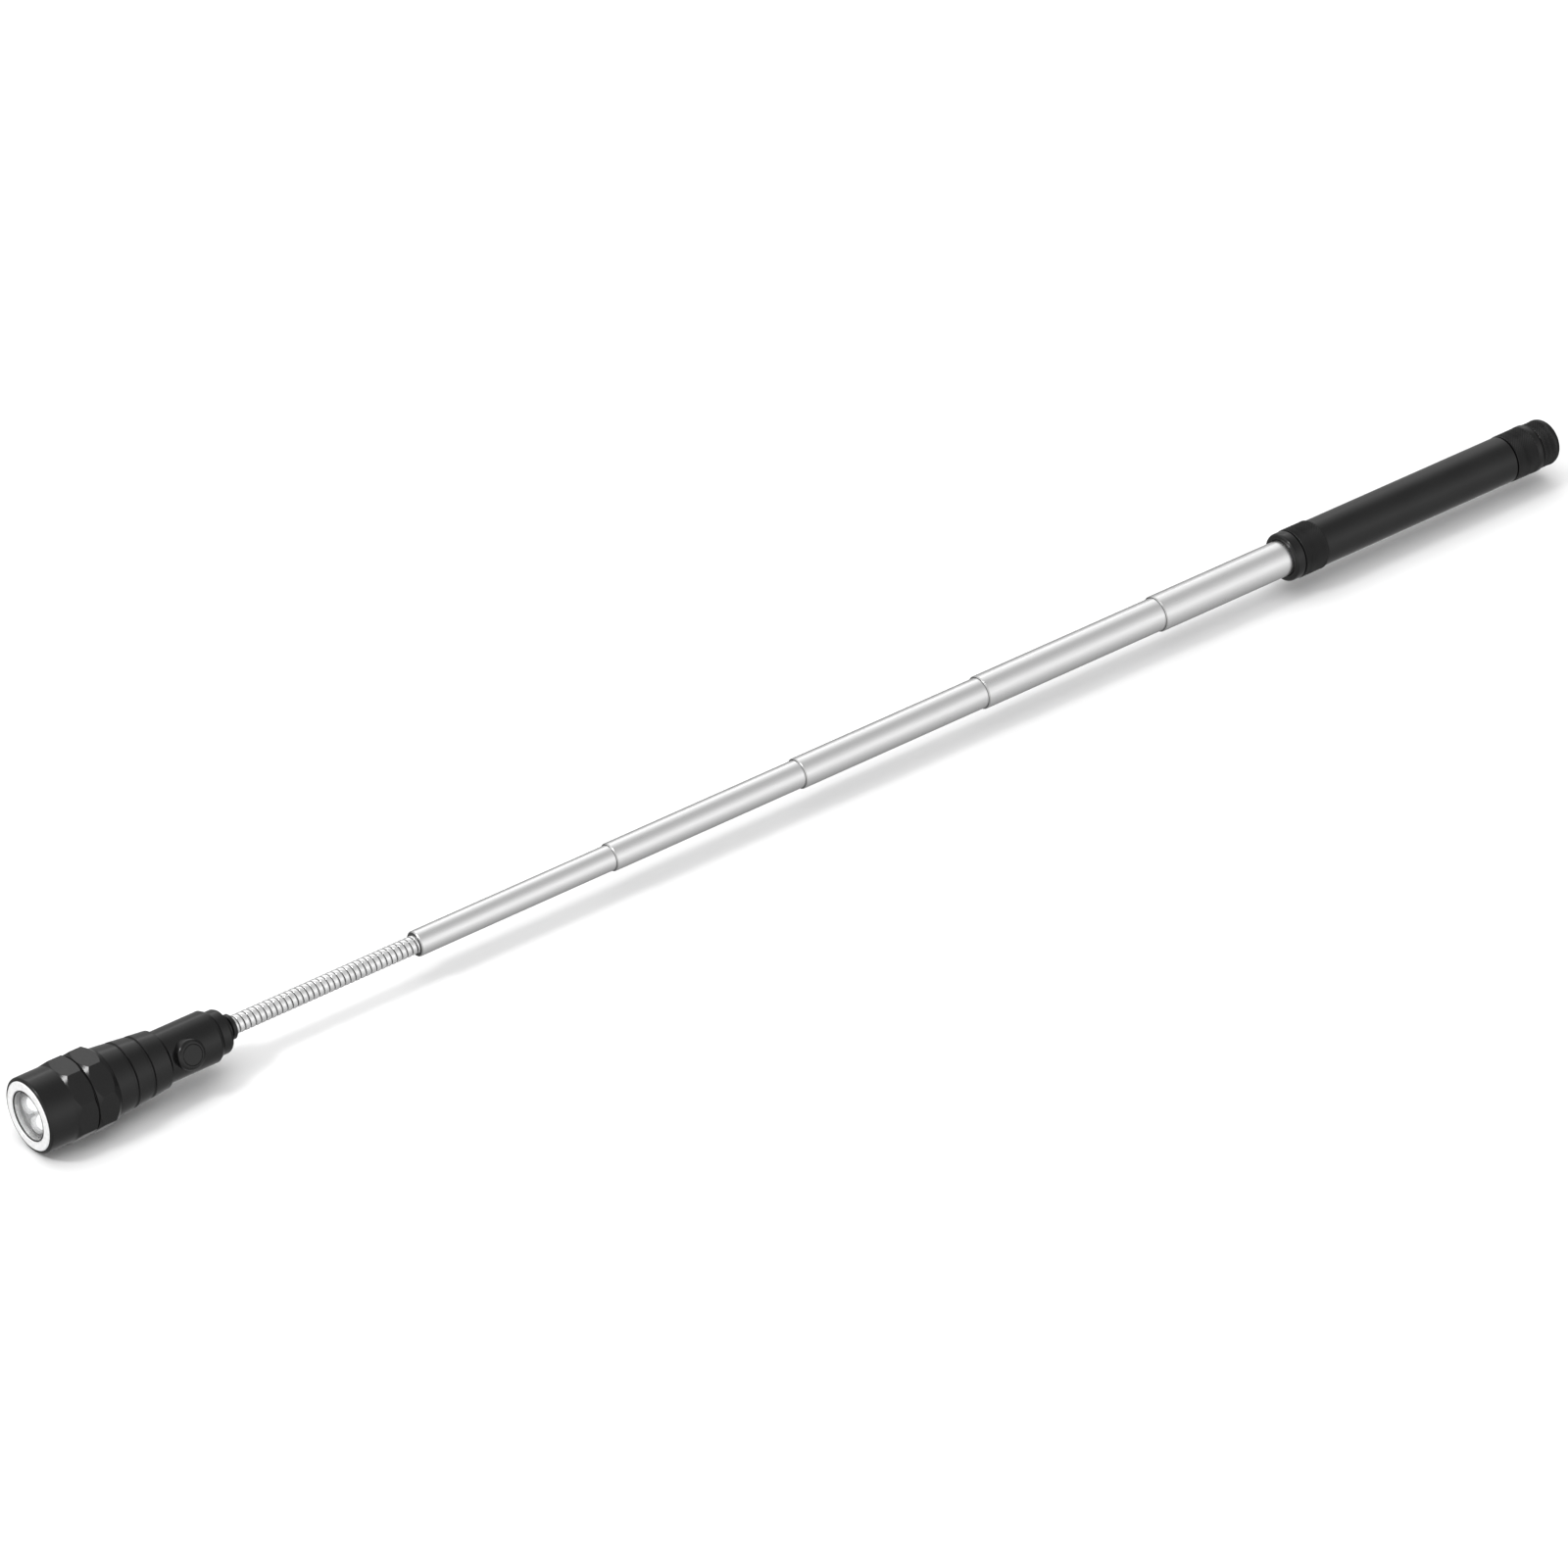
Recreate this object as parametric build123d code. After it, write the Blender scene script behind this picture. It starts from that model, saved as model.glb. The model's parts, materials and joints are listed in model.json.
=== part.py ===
from build123d import *
import os
from math import radians, tan

# A telescopic magnetic pick-up torch. A torch head with a ring magnet sits on a gooseneck, which
# slides out of five nested tubes and a knurled handle. The tool lies along X with its head
# towards -X, fully drawn out, and rests on a flat of its octagonal grip rings at Z = 0.
#
# Along the tool, a station is the distance in millimetres from the magnet's front face.

# ---------------------------------------------------------------- driving dimensions
LENGTH = 560.0
ACROSS_FLATS = 22.3
ACROSS_CORNERS = 24.1
AXIS_HEIGHT = ACROSS_FLATS / 2
GLUE_GAP = 0.01       # radial clearance of a piece glued or pressed to another
FIT = 0.05            # radial clearance of a guided piece in its seat
RUNNING_GAP = 0.1     # radial clearance of a screwed or sliding joint

# torch head
BEZEL_FRONT = 0.25
BARREL_RADIUS = 11.1
BARREL_ROUND = 0.7
RING_1 = (9.2, 15.8)
RING_2 = (16.1, 23.7)
RING_CHAMFER = 1.3
BODY_FRONT = 23.75
BODY_FRONT_RADIUS = 10.3
TAPER_END = 41.6
TAPER_END_RADIUS = 8.55
BODY_GROOVES = (29.6, 35.5)
GROOVE_DEPTH = 0.45
GROOVE_HALF_WIDTH = 0.3
REAR_TUBE_START = 42.5
REAR_TUBE_RADIUS = 7.65
REAR_TUBE_END = 58.7
BODY_END = 59.8
BODY_END_RADIUS = 7.0
THREAD_RADIUS = 9.3
SPIGOT_FRONT = 15.0
SEAL_STATION = 19.9
SEAL_CORD_RADIUS = 0.42
SEAL_GROOVE = (19.3, 20.5)
SEAL_GROOVE_RADIUS = 10.3

MAGNET_LENGTH = 6.0
MAGNET_RADIUS = 10.1
MAGNET_BORE = 7.4
LIP_END = 7.0
LIP_RADIUS = 8.1
LENS_FRONT = 0.5
LENS_THICKNESS = 1.4
LENS_SEAL_RADIUS = 6.9
LENS_SEAL_CORD_RADIUS = 0.39
REFLECTOR_FRONT = 2.7
REFLECTOR_RADIUS = 7.3
REFLECTOR_MOUTH = 6.85
REFLECTOR_FLOOR = 6.4
REFLECTOR_FLOOR_RADIUS = 6.3
BOARD_FRONT = 11.4
BOARD_BACK = 12.4
RETAINER_BACK = 14.4
RETAINER_BORE = 6.4
LED_COUNT = 3
LED_CIRCLE_RADIUS = 3.4
LED_TURN = 45.0        # degrees from +Z towards -Y of the first LED
LED_RADIUS = 2.5
LED_TIP = 2.4
LED_FLANGE_START = 10.4
LED_FLANGE_RADIUS = 2.9

# power
CELL_RADIUS = 5.8      # LR44 button cell
CELL_LENGTH = 5.4
CELL_COUNT = 4
CELLS_FRONT = 18.4
CELLS_BACK = CELLS_FRONT + CELL_COUNT * CELL_LENGTH
SLEEVE_BORE = 5.9
SLEEVE_RADIUS = 6.6
BATTERY_BORE = 6.7
BATTERY_SPRING_RADIUS = 3.4
BATTERY_SPRING_WIRE = 0.3
BATTERY_SPRING_TURNS = 3.5
CONTACT_THICKNESS = 0.5

# push button, on an octagon corner's line on the -Y side
BUTTON_STATION = 48.0
BUTTON_TURN = 67.5     # degrees from +Z towards -Y
BUTTON_RADIUS = 3.0
BUTTON_TOP = 10.1
BOSS_RADIUS = 4.4
BOSS_TOP = 9.9
BOSS_ROUND = 1.1
SKIRT_RADIUS = 4.2
SKIRT_BOTTOM = 5.9
SKIRT_TOP = 8.3
FLANGE_RADIUS = 3.4
FLANGE_BORE = 3.55
FLANGE_TOP = 7.6
FLANGE_BOTTOM = 6.8
STEM_RADIUS = 1.1
STEM_BOTTOM = 3.2
STEM_HOLE_RADIUS = 1.35
STEM_HOLE_BOTTOM = 1.5
RETURN_SPRING_RADIUS = 2.2
RETURN_SPRING_WIRE = 0.18
RETURN_SPRING_TURNS = 4
SWITCH_BORE = 6.2
SWITCH_BORE_SPAN = (41.0, 56.0)
SWITCH_SPAN = (41.1, 54.8)
SWITCH_FLAT = 3.6      # height of the switch's flat above the axis
SWITCH_FLAT_LENGTH = 10.5

# gooseneck
COLLAR_SPIGOT_START = 55.0
COLLAR_SPIGOT_RADIUS = 5.55
COLLAR_START = 60.05
COLLAR_END = 63.7
COLLAR_RADIUS = 6.5
NUT_END = 66.9
NUT_RADIUS = 3.7
NECK_RADIUS = 2.72
NECK_ROOT_RADIUS = 2.4
NECK_BORE = 1.2
FERRULE_START = 56.5
FERRULE_RADIUS = 2.8
COIL_PITCH = 1.7714
COIL_GAP = 0.42
COILS_PER_SEGMENT = 6
SEGMENT_COUNT = 5
FRONT_COILS = 3
REAR_COILS = 2
BEND_PER_HINGE = 20.3  # degrees
HINGE_CLEARANCE = 0.06

# telescope, from the neck back to the handle
TUBE_NAMES = ("tube_5", "tube_4", "tube_3", "tube_2", "tube_1")
TUBE_MOUTHS = (129.0, 197.0, 265.0, 333.0, 401.0)
TUBE_RADII = (3.8, 4.25, 4.7, 5.15, 5.6)
TUBE_LENGTHS = (80.0, 80.0, 80.0, 80.0, 82.0)
TUBE_WALL = 0.25
CRIMP_LENGTH = 1.2
STOP_LENGTH = 2.0
SHIM_LENGTH = 7.0
SHIM_THICKNESS = 0.13
SHIM_SLOT = 1.0
CLIP_START = 134.0
CLIP_END = 142.0
PLUG_RADIUS = 3.0
PLUG_LENGTH = 1.5

# handle
MOUTH = 451.0
NOSE_RADIUS = 7.55
NOSE_RING_END = 454.3
KNURL_START = 454.7
KNURL_RADIUS = 7.8
HANDLE_START = 463.8
HANDLE_RADIUS = 7.35
HANDLE_BORE = 6.3
HANDLE_SPIGOT = 6.9
SPIGOT_SEAT = 6.92
SPIGOT_LENGTH = 7.0
HANDLE_END = 541.7
TAIL_BAND_END = 552.2
TAIL_BAND_RADIUS = 7.6
TAIL_WEB = 3.2
END_CAP_START = 552.7
END_CAP_RADIUS = 7.35
END_CAP_ROUND = 2.4
END_SPIGOT_RADIUS = 4.5
END_GROOVE_RADIUS = 6.7
TAIL_MAGNET_RADIUS = 4.2
TAIL_MAGNET_LENGTH = 3.5
BUSH_LENGTH = 12.6


# ---------------------------------------------------------------- helpers
def at(station):
    """X of a station."""
    return station - LENGTH / 2


def turned(*outline, rounding=0):
    """A solid turned about the tool's axis from an outline of (station, radius) corners."""
    corners = [(at(station), radius) for station, radius in outline]
    if rounding:
        edge = FilletPolyline(*corners, radius=rounding, close=True)
    else:
        edge = Polyline(*corners, close=True)
    return Pos(0, 0, AXIS_HEIGHT) * revolve(make_face(edge), Axis.X, 360)


def rod(start, end, radius):
    return turned((start, 0), (start, radius), (end, radius), (end, 0))


def sleeve(start, end, radius, bore):
    return turned((start, bore), (start, radius), (end, radius), (end, bore))


def seal(middle, ring_radius, cord_radius):
    """An O-ring centred on the tool's axis."""
    cord = Pos(at(middle), ring_radius) * Circle(cord_radius)
    return Pos(0, 0, AXIS_HEIGHT) * revolve(cord, Axis.X, 360)


def radial(height, top, radius):
    """A cylinder along the button's line, from height to top above the tool's axis."""
    post = Pos(0, 0, (height + top) / 2) * Cylinder(radius, top - height)
    return Pos(at(BUTTON_STATION), 0, AXIS_HEIGHT) * Rot(BUTTON_TURN, 0, 0) * post


def coil_spring(mean_radius, wire_radius, length, turns):
    """A helical spring that stands on the origin along +Z."""
    line = Helix(length / turns, length, mean_radius)
    section = Plane(origin=line @ 0, z_dir=line % 0) * Circle(wire_radius)
    return sweep(section, line)


nodes = {}


# ---------------------------------------------------------------- torch head: bezel and its module
def octagon_ring(start, end, rear_chamfer, rear_radius):
    """An octagonal grip ring whose corners are turned off at both ends."""
    outline = RegularPolygon(AXIS_HEIGHT, 8, major_radius=False, rotation=22.5)
    prism = extrude(Plane.YZ.offset(at(start)) * outline, end - start)
    corner = ACROSS_CORNERS / 2
    envelope = turned(
        (start, 0),
        (start, AXIS_HEIGHT - 0.02),
        (start + RING_CHAMFER, corner),
        (end - rear_chamfer, corner),
        (end, rear_radius),
        (end, 0),
    )
    return (Pos(0, 0, AXIS_HEIGHT) * prism) & envelope


def head_bezel():
    barrel = turned(
        (BEZEL_FRONT, 0),
        (BEZEL_FRONT, BARREL_RADIUS),
        (RING_1[0], BARREL_RADIUS),
        (RING_1[0], 0),
        rounding=(0, BARREL_ROUND, 0, 0),
    )
    rim = rod(RING_1[1], RING_2[0], AXIS_HEIGHT - 0.35)
    ring_1 = octagon_ring(*RING_1, 1.0, AXIS_HEIGHT - 0.25)
    ring_2 = octagon_ring(*RING_2, RING_2[1] - 21.1, BODY_FRONT_RADIUS)
    bore = THREAD_RADIUS + RUNNING_GAP
    cavity = turned(
        (BEZEL_FRONT - 1, 0),
        (BEZEL_FRONT - 1, MAGNET_RADIUS + FIT),
        (MAGNET_LENGTH, MAGNET_RADIUS + FIT),
        (MAGNET_LENGTH, LIP_RADIUS),
        (LIP_END, LIP_RADIUS),
        (LIP_END, bore),
        (RING_2[1] + 1, bore),
        (RING_2[1] + 1, 0),
    )
    seal_groove = sleeve(*SEAL_GROOVE, SEAL_GROOVE_RADIUS, bore - 1)
    return barrel + rim + ring_1 + ring_2 - cavity - seal_groove


nodes["head_bezel"] = head_bezel()
nodes["ring_magnet"] = turned(
    (0, MAGNET_BORE + 0.3),
    (0, MAGNET_RADIUS - 0.3),
    (0.3, MAGNET_RADIUS),
    (MAGNET_LENGTH, MAGNET_RADIUS),
    (MAGNET_LENGTH, MAGNET_BORE),
    (0.3, MAGNET_BORE),
)
nodes["lens"] = turned(
    (LENS_FRONT, 0),
    (LENS_FRONT, MAGNET_BORE - 0.4),
    (LENS_FRONT + 0.3, MAGNET_BORE - FIT),
    (LENS_FRONT + LENS_THICKNESS, MAGNET_BORE - FIT),
    (LENS_FRONT + LENS_THICKNESS, 0),
)
nodes["lens_seal"] = seal(
    (LENS_FRONT + LENS_THICKNESS + REFLECTOR_FRONT) / 2, LENS_SEAL_RADIUS, LENS_SEAL_CORD_RADIUS
)


def led_places():
    """Centres of the LEDs about the tool's axis."""
    step = 360 / LED_COUNT
    return [
        Rot(LED_TURN + step * i, 0, 0) * Pos(0, 0, LED_CIRCLE_RADIUS) for i in range(LED_COUNT)
    ]


def led_rod(place, start, end, radius):
    """A cylinder on an LED's own axis."""
    middle = Pos(at((start + end) / 2), 0, AXIS_HEIGHT)
    return middle * place * Rot(0, 90, 0) * Cylinder(radius, end - start)


def reflector():
    body = turned(
        (REFLECTOR_FRONT, REFLECTOR_MOUTH),
        (REFLECTOR_FRONT, REFLECTOR_RADIUS),
        (LIP_END + FIT, REFLECTOR_RADIUS),
        (LIP_END + FIT, THREAD_RADIUS),
        (BOARD_FRONT - FIT, THREAD_RADIUS),
        (BOARD_FRONT - FIT, 0),
        (REFLECTOR_FLOOR, 0),
        (REFLECTOR_FLOOR, REFLECTOR_FLOOR_RADIUS),
    )
    for place in led_places():
        body -= led_rod(place, REFLECTOR_FLOOR - 1, BOARD_FRONT, LED_RADIUS + FIT)
        body -= led_rod(place, LED_FLANGE_START - FIT, BOARD_FRONT, LED_FLANGE_RADIUS + FIT)
    return body


nodes["reflector"] = reflector()
for number, place in enumerate(led_places(), start=1):
    dome = Pos(at(LED_TIP + LED_RADIUS), 0, AXIS_HEIGHT) * place * Sphere(LED_RADIUS)
    shaft = led_rod(place, LED_TIP + LED_RADIUS, BOARD_FRONT, LED_RADIUS)
    flange = led_rod(place, LED_FLANGE_START, BOARD_FRONT, LED_FLANGE_RADIUS)
    nodes[f"led_{number}"] = dome + shaft + flange
nodes["led_board"] = rod(BOARD_FRONT, BOARD_BACK, THREAD_RADIUS)
nodes["module_retainer"] = sleeve(
    BOARD_BACK, RETAINER_BACK, THREAD_RADIUS + FIT, RETAINER_BORE
)
spring_inset = BATTERY_SPRING_WIRE + RUNNING_GAP
battery_spring = coil_spring(
    BATTERY_SPRING_RADIUS,
    BATTERY_SPRING_WIRE,
    CELLS_FRONT - BOARD_BACK - 2 * spring_inset,
    BATTERY_SPRING_TURNS,
)
nodes["battery_spring"] = (
    Pos(at(BOARD_BACK + spring_inset), 0, AXIS_HEIGHT) * Rot(0, 90, 0) * battery_spring
)
seal_radius = THREAD_RADIUS + RUNNING_GAP + SEAL_CORD_RADIUS + GLUE_GAP
nodes["bezel_seal"] = seal(SEAL_STATION, seal_radius, SEAL_CORD_RADIUS)

# ---------------------------------------------------------------- torch head: power and body
for cell in range(CELL_COUNT):
    front = CELLS_FRONT + cell * CELL_LENGTH
    back = front + CELL_LENGTH
    nodes[f"battery_{cell + 1}"] = turned(
        (front, 0),
        (front, CELL_RADIUS - 1.1),
        (front + 0.5, CELL_RADIUS - 0.9),
        (front + 0.5, CELL_RADIUS - 0.2),
        (front + 0.7, CELL_RADIUS),
        (back - 0.3, CELL_RADIUS),
        (back, CELL_RADIUS - 0.3),
        (back, 0),
    )
nodes["battery_sleeve"] = sleeve(
    SPIGOT_FRONT + 0.8, CELLS_BACK + CONTACT_THICKNESS, SLEEVE_RADIUS, SLEEVE_BORE
)
nodes["battery_contact"] = rod(CELLS_BACK, CELLS_BACK + CONTACT_THICKNESS, SLEEVE_BORE - FIT)


def torch_body():
    groove = []
    for middle in BODY_GROOVES:
        drop = (middle - BODY_FRONT) / (TAPER_END - BODY_FRONT)
        radius = BODY_FRONT_RADIUS + drop * (TAPER_END_RADIUS - BODY_FRONT_RADIUS)
        groove += [
            (middle - 2 * GROOVE_HALF_WIDTH, radius + 0.03),
            (middle - GROOVE_HALF_WIDTH, radius - GROOVE_DEPTH),
            (middle + GROOVE_HALF_WIDTH, radius - GROOVE_DEPTH),
            (middle + 2 * GROOVE_HALF_WIDTH, radius - 0.03),
        ]
    shell = turned(
        (SPIGOT_FRONT, BATTERY_BORE),
        (SPIGOT_FRONT, THREAD_RADIUS - 0.4),
        (SPIGOT_FRONT + 0.4, THREAD_RADIUS),
        (BODY_FRONT, THREAD_RADIUS),
        (BODY_FRONT, BODY_FRONT_RADIUS),
        *groove,
        (TAPER_END, TAPER_END_RADIUS),
        (REAR_TUBE_START, REAR_TUBE_RADIUS),
        (REAR_TUBE_END, REAR_TUBE_RADIUS),
        (BODY_END, BODY_END_RADIUS),
        (BODY_END, COLLAR_SPIGOT_RADIUS + FIT),
        (SWITCH_BORE_SPAN[1], COLLAR_SPIGOT_RADIUS + FIT),
        (SWITCH_BORE_SPAN[1], SWITCH_BORE),
        (SWITCH_BORE_SPAN[0], SWITCH_BORE),
        (SWITCH_BORE_SPAN[0], BATTERY_BORE),
    )
    return shell - radial(SWITCH_FLAT, BOSS_TOP, SKIRT_RADIUS + FIT)


nodes["torch_body"] = torch_body()


# ---------------------------------------------------------------- torch head: switch
def switch_housing():
    block = rod(*SWITCH_SPAN, SWITCH_BORE - FIT)
    clear_of_block = 2 * SWITCH_BORE
    seat = Box(SWITCH_FLAT_LENGTH, clear_of_block, clear_of_block)
    seat = Pos(0, 0, SWITCH_FLAT + clear_of_block / 2) * seat
    placed = Pos(at(BUTTON_STATION), 0, AXIS_HEIGHT) * Rot(BUTTON_TURN, 0, 0) * seat
    return block - placed - radial(STEM_HOLE_BOTTOM, BOSS_TOP, STEM_HOLE_RADIUS)


def switch_ring():
    boss = radial(SKIRT_BOTTOM, BOSS_TOP, BOSS_RADIUS)
    crown = boss.edges().filter_by(GeomType.CIRCLE).sort_by(Axis.Y)[0]
    saddle = rod(*SWITCH_BORE_SPAN, REAR_TUBE_RADIUS + GLUE_GAP)
    ring = fillet(crown, BOSS_ROUND) - saddle + radial(SKIRT_BOTTOM, SKIRT_TOP, SKIRT_RADIUS)
    button_hole = radial(SWITCH_FLAT, BUTTON_TOP, BUTTON_RADIUS + RUNNING_GAP)
    return ring - button_hole - radial(SWITCH_FLAT, FLANGE_TOP + FIT, FLANGE_BORE)


nodes["switch_housing"] = switch_housing()
nodes["switch_ring"] = switch_ring()
button_face = radial(FLANGE_BOTTOM, BUTTON_TOP, BUTTON_RADIUS)
button_rim = button_face.edges().filter_by(GeomType.CIRCLE).sort_by(Axis.Y)[0]
nodes["switch_button"] = (
    chamfer(button_rim, 0.2)
    + radial(FLANGE_BOTTOM, FLANGE_TOP, FLANGE_RADIUS)
    + radial(STEM_BOTTOM, FLANGE_BOTTOM, STEM_RADIUS)
)
return_inset = RETURN_SPRING_WIRE + FIT
return_spring = coil_spring(
    RETURN_SPRING_RADIUS,
    RETURN_SPRING_WIRE,
    FLANGE_BOTTOM - SWITCH_FLAT - 2 * return_inset,
    RETURN_SPRING_TURNS,
)
nodes["switch_spring"] = (
    Pos(at(BUTTON_STATION), 0, AXIS_HEIGHT)
    * Rot(BUTTON_TURN, 0, 0)
    * Pos(0, 0, SWITCH_FLAT + return_inset)
    * return_spring
)

# ---------------------------------------------------------------- neck mount
neck_seat = FERRULE_RADIUS + FIT
nodes["rear_collar"] = turned(
    (COLLAR_SPIGOT_START, neck_seat),
    (COLLAR_SPIGOT_START, COLLAR_SPIGOT_RADIUS),
    (COLLAR_START, COLLAR_SPIGOT_RADIUS),
    (COLLAR_START, COLLAR_RADIUS - 0.2),
    (COLLAR_START + 0.2, COLLAR_RADIUS),
    (COLLAR_END - 1.0, COLLAR_RADIUS),
    (COLLAR_END - 0.3, COLLAR_RADIUS - 0.35),
    (COLLAR_END, COLLAR_RADIUS - 1.1),
    (COLLAR_END, neck_seat),
)
nodes["neck_nut"] = turned(
    (COLLAR_END, neck_seat),
    (COLLAR_END, NUT_RADIUS - 0.35),
    (COLLAR_END + 1.4, NUT_RADIUS - 0.35),
    (COLLAR_END + 1.8, NUT_RADIUS),
    (NUT_END - 0.4, NUT_RADIUS),
    (NUT_END, NUT_RADIUS - 0.4),
    (NUT_END, neck_seat),
)

# ---------------------------------------------------------------- gooseneck
FIRST_HINGE = NUT_END + FRONT_COILS * COIL_PITCH
SEGMENT_LENGTH = COILS_PER_SEGMENT * COIL_PITCH
LAST_HINGE = FIRST_HINGE + SEGMENT_COUNT * SEGMENT_LENGTH


def hinge_inset(radius):
    """How far an end face stands back from its hinge so that a full bend stays clear."""
    return radius * tan(radians(BEND_PER_HINGE / 2)) + HINGE_CLEARANCE


def coil_stretch(start, coils, hinge_before, hinge_after):
    """A ribbed length of gooseneck, its ends hollowed back wherever it meets a hinge."""
    end = start + coils * COIL_PITCH
    flat = COIL_GAP / 2
    front_rim = hinge_inset(NECK_RADIUS) if hinge_before else flat
    back_rim = hinge_inset(NECK_RADIUS) if hinge_after else flat
    front_core = hinge_inset(NECK_BORE) if hinge_before else flat
    back_core = hinge_inset(NECK_BORE) if hinge_after else flat
    outline = [(start + front_core, NECK_BORE), (start + front_rim, NECK_RADIUS)]
    for coil in range(1, coils):
        gap = start + coil * COIL_PITCH
        outline += [
            (gap - COIL_GAP / 2, NECK_RADIUS),
            (gap - COIL_GAP / 2, NECK_ROOT_RADIUS),
            (gap + COIL_GAP / 2, NECK_ROOT_RADIUS),
            (gap + COIL_GAP / 2, NECK_RADIUS),
        ]
    outline += [(end - back_rim, NECK_RADIUS), (end - back_core, NECK_BORE)]
    return turned(*outline)


front_root = sleeve(FERRULE_START, NUT_END + COIL_GAP, NECK_ROOT_RADIUS, NECK_BORE)
front_ferrule = sleeve(FERRULE_START, NUT_END, FERRULE_RADIUS, NECK_BORE)
nodes["neck_front_ferrule"] = (
    front_ferrule + front_root + coil_stretch(NUT_END, FRONT_COILS, False, True)
)
for number in range(SEGMENT_COUNT):
    hinge = FIRST_HINGE + number * SEGMENT_LENGTH
    nodes[f"neck_segment_{number + 1}"] = coil_stretch(hinge, COILS_PER_SEGMENT, True, True)

neck_tail_end = LAST_HINGE + REAR_COILS * COIL_PITCH
nodes["neck_plug"] = (
    coil_stretch(LAST_HINGE, REAR_COILS, True, False)
    + sleeve(neck_tail_end - COIL_GAP, CLIP_END, NECK_ROOT_RADIUS, NECK_BORE)
    + sleeve(CLIP_END, CLIP_END + PLUG_LENGTH, PLUG_RADIUS, NECK_BORE)
)
tube_bore = TUBE_RADII[0] - TUBE_WALL
nodes["neck_clip"] = sleeve(
    CLIP_START, CLIP_END - FIT, tube_bore - FIT, NECK_ROOT_RADIUS + RUNNING_GAP
)

# ---------------------------------------------------------------- telescope
for index, name in enumerate(TUBE_NAMES):
    mouth = TUBE_MOUTHS[index]
    back = mouth + TUBE_LENGTHS[index]
    radius = TUBE_RADII[index]
    bore = radius - TUBE_WALL
    inner_radius = NECK_RADIUS if index == 0 else TUBE_RADII[index - 1]
    crimp = inner_radius + FIT
    nodes[name] = turned(
        (mouth, crimp),
        (mouth, radius - 0.25),
        (mouth + 0.35, radius),
        (back, radius),
        (back, bore),
        (mouth + CRIMP_LENGTH, bore),
        (mouth + CRIMP_LENGTH - 0.3, crimp),
    )
    last = index == len(TUBE_NAMES) - 1
    outer_bore = HANDLE_BORE if last else TUBE_RADII[index + 1] - TUBE_WALL
    number = name[-1]
    nodes[f"tube_{number}_stop"] = sleeve(
        back - STOP_LENGTH, back, outer_bore - FIT, radius + GLUE_GAP
    )
    if not last:
        shim_start = back - STOP_LENGTH - SHIM_LENGTH
        shim_bore = radius + GLUE_GAP
        shim_end = shim_start + SHIM_LENGTH
        shim = sleeve(shim_start, shim_end, shim_bore + SHIM_THICKNESS, shim_bore)
        slot = Box(2 * SHIM_LENGTH, SHIM_SLOT, radius)
        placed_slot = Pos(at(shim_start), 0, AXIS_HEIGHT + radius) * slot
        nodes[f"tube_{number}_shim"] = shim - placed_slot

# ---------------------------------------------------------------- handle
tube_1_radius = TUBE_RADII[-1]
nodes["handle_nose"] = turned(
    (MOUTH, tube_1_radius + RUNNING_GAP),
    (MOUTH, NOSE_RADIUS - 0.9),
    (MOUTH + 0.12, NOSE_RADIUS - 0.55),
    (MOUTH + 0.45, NOSE_RADIUS - 0.17),
    (MOUTH + 0.95, NOSE_RADIUS),
    (NOSE_RING_END, NOSE_RADIUS),
    (NOSE_RING_END, NOSE_RADIUS - 0.5),
    (KNURL_START, NOSE_RADIUS - 0.5),
    (KNURL_START, KNURL_RADIUS - 0.15),
    (KNURL_START + 0.3, KNURL_RADIUS),
    (HANDLE_START - 0.6, KNURL_RADIUS),
    (HANDLE_START, HANDLE_RADIUS),
    (HANDLE_START, SPIGOT_SEAT),
    (HANDLE_START - SPIGOT_LENGTH, SPIGOT_SEAT),
    (HANDLE_START - SPIGOT_LENGTH, tube_1_radius + RUNNING_GAP),
)
nodes["handle_tube"] = turned(
    (HANDLE_START - SPIGOT_LENGTH, HANDLE_BORE),
    (HANDLE_START - SPIGOT_LENGTH, HANDLE_SPIGOT),
    (HANDLE_START, HANDLE_SPIGOT),
    (HANDLE_START, HANDLE_RADIUS),
    (HANDLE_END - 0.6, HANDLE_RADIUS),
    (HANDLE_END - 0.1, HANDLE_RADIUS - 0.45),
    (HANDLE_END - 0.1, HANDLE_SPIGOT),
    (HANDLE_END + SPIGOT_LENGTH, HANDLE_SPIGOT),
    (HANDLE_END + SPIGOT_LENGTH, HANDLE_BORE),
)
bush_end = TUBE_MOUTHS[-1] + TUBE_LENGTHS[-1] - STOP_LENGTH - 0.05
nodes["guide_bush"] = sleeve(
    bush_end - BUSH_LENGTH, bush_end, HANDLE_BORE - FIT, tube_1_radius + FIT
)
nodes["tail_band"] = turned(
    (HANDLE_END, SPIGOT_SEAT),
    (HANDLE_END, TAIL_BAND_RADIUS - 0.2),
    (HANDLE_END + 0.3, TAIL_BAND_RADIUS),
    (TAIL_BAND_END - 0.25, TAIL_BAND_RADIUS),
    (TAIL_BAND_END, TAIL_BAND_RADIUS - 0.25),
    (TAIL_BAND_END, END_SPIGOT_RADIUS + GLUE_GAP),
    (TAIL_BAND_END - TAIL_WEB, END_SPIGOT_RADIUS + GLUE_GAP),
    (TAIL_BAND_END - TAIL_WEB, SPIGOT_SEAT),
)
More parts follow.
